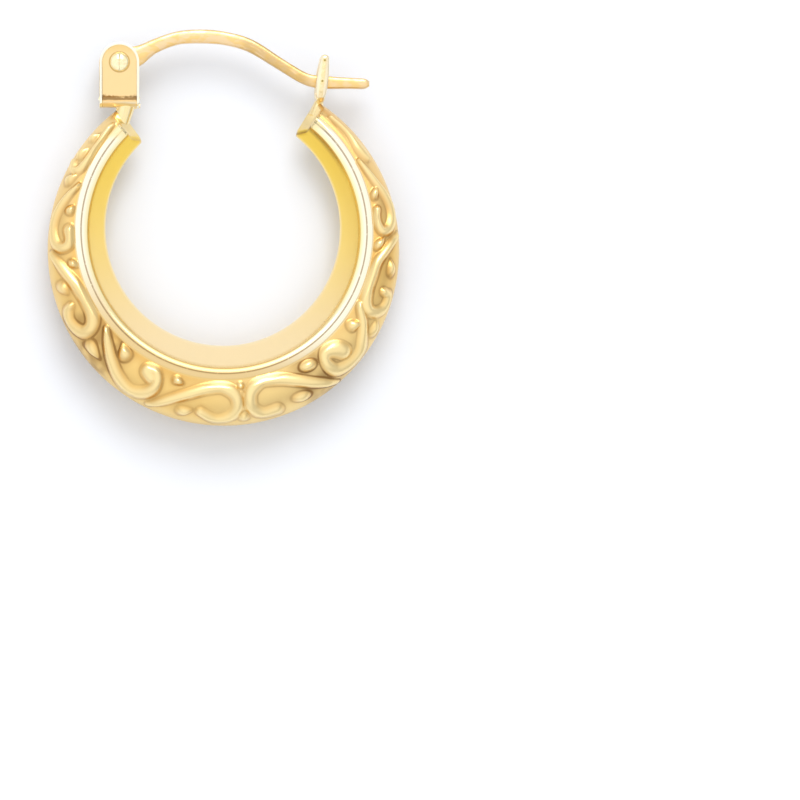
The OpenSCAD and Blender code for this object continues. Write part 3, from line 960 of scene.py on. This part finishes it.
def hoop_gold():
    """Satin scrollwork with painted brown shade in its creases, and a polished rim and inner wall, with
    painted light, shade and reflection on them.

    x and y are millimetres in the frame: to the right and up in the view from above.
    """
    gold = Finish("hoop_gold", Metallic=1.0)
    place = gold.place()
    x, y = gold.part(place, 0), gold.part(place, 1)
    raised = gold.attribute("raised")
    beyond = gold.attribute("beyond")
    fall = gold.attribute("fall")
    step = gold.attribute("step")
    past = gold.attribute("end")
    end = gold.step(past, 0.6, 1.0)
    satin = gold.step(fall, 0.0, 0.04) * (1 - end)
    cloud = gold.noise(place, scale=0.5, detail=2.0)
    patch = gold.noise(place, scale=1.2, detail=1.0)
    grain = gold.noise(place, scale=6.0, detail=5.0)

    # The face: painted shade beside the strands, next to the rim, at the far left and high at the right,
    # rosy high up, painted light at the left, at its outer edge, at the lower right and on the strands'
    # tops, and painted brown shade in its creases
    shaded = (1 - gold.step(beyond, -0.1, 0.3)) * (0.35 + 0.65 * gold.step(cloud, 0.35, 0.65))
    ground = gold.mix(shaded, SATIN_GOLD, SHADED_GOLD)
    ground = gold.mix(gold.step(y, -3.0, 4.0) * 0.5, ground, ROSE)
    left = 1 - gold.step(x, -9.0, 3.0)
    ground = gold.mix(left * 0.25 + gold.step(fall, 0.75, 1.0) * 0.4, ground, LIT_GOLD)
    # Painted shade on the ground next to the rim's foot
    ground = gold.mix((1 - gold.step(fall, 0.03, 0.3)) * 0.6, ground, SHADED_GOLD)
    # Painted highlight on the strands' tops
    wear_and_highlight = gold.mix(gold.step(raised, 0.2, 1.0) * 0.85, ground, PAINTED_HIGHLIGHT_GOLD)
    # Painted light over the lower right of the face
    low_right = gold.step(x, -4.0, 2.0) * (1 - gold.step(y, -8.0, -2.0))
    wear_and_highlight = gold.mix(low_right * 0.42, wear_and_highlight, PAINTED_HIGHLIGHT_GOLD)
    # Painted brown shade: a line along each strand's foot, and patches on the ground where it is thick
    tan = gold.attribute("tan")
    crease = gold.band(beyond, 0.0, 0.09) * tan * gold.step(cloud, 0.2, 0.5)
    shade_patches = (1 - gold.step(raised, 0.0, 0.4)) * gold.step(tan, 0.4, 0.9) * gold.step(patch, 0.2, 0.7)
    face = gold.mix(crease + shade_patches * 0.68, wear_and_highlight, BROWN)
    # Painted shade at the far left and high at the right
    far_left = (1 - gold.step(x, -8.0, -5.0)) * (1 - gold.step(y, 2.0, 6.0))
    high_right = gold.step(x, 4.0, 6.0) * gold.step(y, 2.0, 5.0)
    face = gold.mix(far_left * 0.15 + high_right * 0.12, face, SHADED_GOLD)

    # The wall: deep yellow at the sides and high up and pale at the bottom, a painted reflection, and
    # pale along the inner seam
    wall = gold.mix(gold.step(y + 0.05 * x, -7.5, 0.5), WALL_GOLD, DEEP_GOLD)
    wall = gold.mix(gold.step(y, -1.0, 4.0), wall, HIGH_GOLD)
    wall = gold.mix((1 - gold.step(step, 0.0, 1.2)) * 0.6, wall, LIGHT_GOLD)

    # The rim: cream on its inner side and a painted white highlight on its outer one, both darker low
    # down as painted shade, with painted tan shade along its two feet and a fine brown line along its
    # crest, a painted reflection
    inner = 1 - gold.step(step, WALL_STEPS - 0.2, WALL_STEPS + 0.8)
    side = gold.step(y, -8.5, -3.5)
    bright = gold.step(y + 0.35 * x, -8.5, -3.5)
    outer = gold.step(step, WALL_STEPS + 0.5, CREST_STEP - 1)
    cream = gold.mix(side, LOW_CREAM_SHADED, CREAM_GOLD)
    white = gold.mix(bright, LOW_RIM_SHADED, RIM_HIGHLIGHT_GOLD)
    rim = gold.mix(outer, cream, white)
    polished = gold.mix(inner, rim, wall)
    polished = gold.mix(gold.band(step, WALL_STEPS, 1.2) * 0.5, polished, TAN_GOLD)
    # Painted dark reflection at the top of the wall near the right end
    corner = gold.step(x, 3.5, 5.5) * gold.step(y, 2.0, 4.5)
    polished = gold.mix(gold.band(step, WALL_STEPS - 0.8, 2.0) * corner * 0.65, polished, BROWN)
    polished = gold.mix(gold.band(step, FOOT_STEP, 1.6) * 0.8, polished, TAN_GOLD)
    # The crest's fine brown line is a painted reflection of the dark spot round the lens
    crest = gold.band(step, CREST_STEP, 1.2) * gold.step(grain, 0.2, 0.45)
    polished = gold.mix(crest * 0.8, polished, BROWN)

    # The two ends: an outline beside them, gold over the last of the rim, and a paler
    # closing plate that is deep yellow at the wall
    edge = gold.mix(gold.step(x, 3.0, 5.0) * inner, TAN_GOLD, BROWN)
    polished = gold.mix(gold.band(past, 0.1, 0.8) * 0.75, polished, edge)
    polished = gold.mix(gold.step(y, 5.0, 5.5) * (1 - inner) * 0.8, polished, SOLDER_GOLD)
    up = y - HOOP_CENTRE.y
    reach = (x * x + up * up) ** 0.5
    closing = gold.mix((1 - gold.step(reach, 7.8, 8.6)) * 0.75, END_GOLD, DEEP_GOLD)
    polished = gold.mix(end, polished, closing)

    gold.set("Base Color", gold.mix(satin, polished, face))
    low_rim = (1 - side) * (1 - inner) * (0.42 - 0.2 * outer)
    smooth_parts = 0.1 + 0.16 * inner + low_rim
    gold.set("Roughness", satin * (0.34 + 0.08 * grain - 0.08 * raised) + (1 - satin) * smooth_parts)
    gold.bump(grain * satin, 0.2, 0.02)
    return gold.owner


def fork_gold():
    """A brushed field inside a polished edge painted near white as a highlight, with a scored line over
    the fold painted brown as a dark reflection, and painted shadow round the rivet and at the top.
    """
    gold = Finish("fork_gold", Metallic=1.0)
    place = gold.place()
    grain = gold.noise(place, scale=4.0, detail=4.0, stretch=(1.5, 1, 1))
    across = gold.attribute("across")
    along = gold.attribute("along")
    over = along.math("MINIMUM", along, 0.0)
    out = (across * across + over * over) ** 0.5
    border = gold.step(out, FORK_W / 2 - 0.15, FORK_W / 2 - 0.12)
    ring = (across * across + along * along) ** 0.5
    # Painted shadow in a ring round the rivet's head
    under_head = gold.step(ring, RIVET_HEAD_R - 0.04, RIVET_HEAD_R)
    shade = under_head - gold.step(ring, RIVET_HEAD_R + 0.03, RIVET_HEAD_R + 0.08)
    sides = gold.step(across * across, 0.45, 0.85)
    start = along + 0.5 * (grain - 0.5) + 0.1 * sides
    below = gold.step(along + 0.08 * grain, SCORE_EDGES[2], SCORE_EDGES[3])
    score = gold.step(start, SCORE_EDGES[0] - 0.06, SCORE_EDGES[1] + 0.04) - below
    field = gold.mix(gold.step(grain, 0.3, 0.8), FIELD_GOLD, ROSE)
    # Painted light over the fold below the scored line
    fold = gold.step(along, SCORE_EDGES[3], SCORE_EDGES[3] + 0.1)
    field = gold.mix(fold * 0.7, field, LIGHT_GOLD)
    # Painted shade towards the top of the fork
    field = gold.mix((1 - gold.step(along, -0.9, -0.3)) * 0.5, field, TAN_GOLD)
    marked = gold.mix(shade * 0.8 * (1 - border), field, WEAR_AND_SHADOW_GOLD)
    # The scored line is painted brown as a dark reflection
    marked = gold.mix(score * 0.85 * (1 - border), marked, BROWN)
    # The polished border is painted near white as a highlight
    gold.set("Base Color", gold.mix(border, marked, BORDER_HIGHLIGHT_GOLD))
    gold.set("Roughness", 0.27 + 0.06 * grain - 0.1 * border)
    return gold.owner


def wire_gold():
    """Forged wire: honey gold with tan marks, brown wear along its bend and rosy ends."""
    gold = Finish("wire_gold", Metallic=1.0)
    place = gold.place()
    x = gold.part(place, 0)
    slope = {"Vector": place, "Angle": math.radians(35)}
    down_bend = gold.node("ShaderNodeVectorRotate", {"rotation_type": "Z_AXIS"}, slope)
    streaks = gold.noise(down_bend, scale=2.0, detail=5.0, stretch=(0.5, 2.5, 1))
    marks = gold.noise(place, scale=1.6, detail=5.0, stretch=(1, 2, 1))
    fine = gold.noise(place, scale=9.0, detail=3.0)
    bend = gold.step(x, 1.0, 2.0) * (1 - gold.step(x, 4.8, 5.8))
    ends = gold.step(x, 3.0, 5.0) + 1 - gold.step(x, -4.8, -2.8)
    clean = gold.mix(ends, HONEY_GOLD, WIRE_ROSE)
    clean = gold.mix(gold.band(x, CATCH_X, 0.8) * 0.8, clean, ORANGE)
    spots = gold.mix(gold.step(marks, 0.42, 0.62) * 0.7, clean, SATIN_GOLD)
    wear_and_highlight = bend * gold.step(streaks, 0.25, 0.5)
    gold.set("Base Color", gold.mix(wear_and_highlight * 0.6, spots, WEAR_AND_SHADOW_GOLD))
    gold.set("Roughness", 0.26 + 0.16 * marks)
    gold.bump(marks + 0.4 * fine, 0.3, 0.03)
    return gold.owner


def small_gold(name, colour):
    """Polished small parts of wire and solder."""
    gold = Finish(name, Metallic=1.0)
    fine = gold.noise(gold.place(), scale=5.0, detail=4.0)
    gold.set("Base Color", gold.mix(gold.step(fine, 0.35, 0.75), colour, PALE_GOLD))
    gold.set("Roughness", 0.1 + 0.14 * fine)
    gold.bump(fine, 0.2, 0.03)
    return gold.owner


def catch_gold():
    """The catch's wire: light, with painted olive shade along its middle, and a few dark pits."""
    gold = Finish("catch_gold", Metallic=1.0)
    across = gold.attribute("across")
    along = gold.attribute("along")
    fine = gold.noise(gold.place(), scale=4.0, detail=4.0)
    # Painted olive shade along the middle of the wire
    middle = 1 - gold.step(across * across, 0.003, 0.03)
    base = gold.mix(middle * (0.5 + 0.5 * gold.step(fine, 0.3, 0.6)), LIGHT_GOLD, OLIVE)
    for height in PIT_HEIGHTS:
        up = along - height
        away = (across * across + up * up) ** 0.5
        base = gold.mix(gold.step(away, PIT_R, 2 * PIT_R), PIT, base)
    gold.set("Base Color", base)
    gold.set("Roughness", 0.14 + 0.14 * fine)
    gold.bump(fine, 0.25, 0.03)
    return gold.owner


def sweep_white():
    """The paper that the earring lies on."""
    paper = Finish("sweep_paper", Roughness=0.9)
    tone = paper.noise(paper.place(), scale=0.05, detail=2.0)
    paper.set("Base Color", paper.mix(tone, PAPER, PAPER_LIGHT))
    return paper.owner


def dress(piece, material, body, node):
    """Gives a piece its finish, and its place in the frame."""
    piece.data.materials.clear()
    piece.data.materials.append(material)
    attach(piece, body)
    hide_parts(node)


# The tent: its level low down, how much more there is overhead, how much less at
# the right low down and overhead, how much less in the lens's dark spot, and the
# angles from the zenith where that spot begins and is full
TENT_LEVEL = 0.88
TENT_HIGH = 0.25
RIGHT_LOW_LOSS = 0.25
RIGHT_HIGH_LOSS = 0.10
LENS_LOSS = 0.5
LENS_ANGLES = (6, 4)

# The window: its place and its size in metres, and its power in watts
WINDOW_AT = (0.05, 0.35, 0.45)
WINDOW_SIZE = 0.3
WINDOW_POWER = 1.3

# The floor's size, in metres
FLOOR_SIZE = 1.6


def light_tent():
    """A white tent: a little dimmer at the right and low down, and dark round the lens overhead."""
    world = bpy.data.worlds.new("tent")
    bpy.context.scene.world = world
    tent = Finish("tent", owner=world)
    direction = tent.node("ShaderNodeTexCoord")
    up = tent.part(direction, 2)
    right = tent.step(tent.part(direction, 0), -0.3, 0.7)
    lens = tent.step(up, *(math.cos(math.radians(angle)) for angle in LENS_ANGLES))
    high = tent.step(up, 0.25, 0.6)
    right_loss = RIGHT_LOW_LOSS - (RIGHT_LOW_LOSS - RIGHT_HIGH_LOSS) * high
    level = TENT_LEVEL + TENT_HIGH * high - right_loss * right
    tent.set("Strength", level * (1 - LENS_LOSS * lens))
    tent.set("Color", (1.0, 1.0, 1.0))


def soft_box(name, place, size, power):
    """A square area light that faces the earring."""
    light = bpy.data.lights.new(name, "AREA")
    light.size = size
    light.energy = power
    box = bpy.data.objects.new(name, light)
    bpy.context.scene.collection.objects.link(box)
    box.location = place
    aim = Vector((0, 0, 0)) - box.location
    box.rotation_euler = aim.to_track_quat("-Z", "Y").to_euler()


# The picture: its width in pixels, pixels to the millimetre at the hoop's seam,
# where the hoop's centre falls, how far the hoop leans to the left, how far off
# the vertical the camera stands, and its distance in metres
PICTURE_W = 800
PIXELS_PER_MM = 17.584
CENTRE_PX = (223.7, 249.9)
PICTURE_LEAN = 2.5
VIEW_FROM = Vector((-0.045, -0.05, 1.0))
CAMERA_DISTANCE = 0.5
SENSOR_W = 36.0


def camera():
    """A long lens nearly overhead, aimed so that the hoop's centre falls on its pixel."""
    lens = bpy.data.cameras.new("camera")
    lens.sensor_width = SENSOR_W
    lens.lens = SENSOR_W * CAMERA_DISTANCE * PIXELS_PER_MM / (PICTURE_W * MM)
    lens.clip_start = 0.01
    lens.clip_end = 10
    seen = bpy.data.objects.new("camera", lens)
    bpy.context.scene.collection.objects.link(seen)
    bpy.context.scene.camera = seen
    lean = math.radians(PICTURE_LEAN)
    centre = HOOP_CENTRE * MM
    toward = VIEW_FROM.normalized()
    up = Vector((math.sin(lean), math.cos(lean), 0))
    up = (up - toward * up.dot(toward)).normalized()
    right = up.cross(toward)
    half = PICTURE_W / 2
    shift_right = (half - CENTRE_PX[0]) / PIXELS_PER_MM * MM
    shift_down = (half - CENTRE_PX[1]) / PIXELS_PER_MM * MM
    seen.location = centre + toward * CAMERA_DISTANCE
    aim = centre + right * shift_right - up * shift_down
    back = (seen.location - aim).normalized()
    up = (up - back * up.dot(back)).normalized()
    right = up.cross(back)
    turned = Matrix((right, up, back)).transposed()
    seen.rotation_euler = turned.to_euler()


def sweep():
    """The floor under the earring."""
    floor = added("sweep", bpy.ops.mesh.primitive_plane_add, size=FLOOR_SIZE)
    floor.data.materials.append(sweep_white())


light_tent()
soft_box("window", WINDOW_AT, WINDOW_SIZE, WINDOW_POWER)
camera()
sweep()

HOOP_FINISH = hoop_gold()
FORK_FINISH = fork_gold()
WIRE_FINISH = wire_gold()
RIVET_FINISH = small_gold("rivet_gold", RIVET_GOLD)
CATCH_FINISH = catch_gold()
SOLDER_FINISH = small_gold("solder_gold", SOLDER_GOLD)

dress(hoop_shell(), HOOP_FINISH, "earring", "hoop")
dress(hinge_fork(), FORK_FINISH, "earring", "hoop")
for name, ends in POSTS.items():
    dress(post(name, *ends), SOLDER_FINISH, "earring", "hoop")
dress(catch_prongs(), CATCH_FINISH, "earring", "hoop")
dress(hinge_rivet(), RIVET_FINISH, "earring", "hinge_rivet")
dress(ear_wire(), WIRE_FINISH, "swing_wire", "ear_wire")

bpy.context.scene.view_settings.view_transform = "Standard"
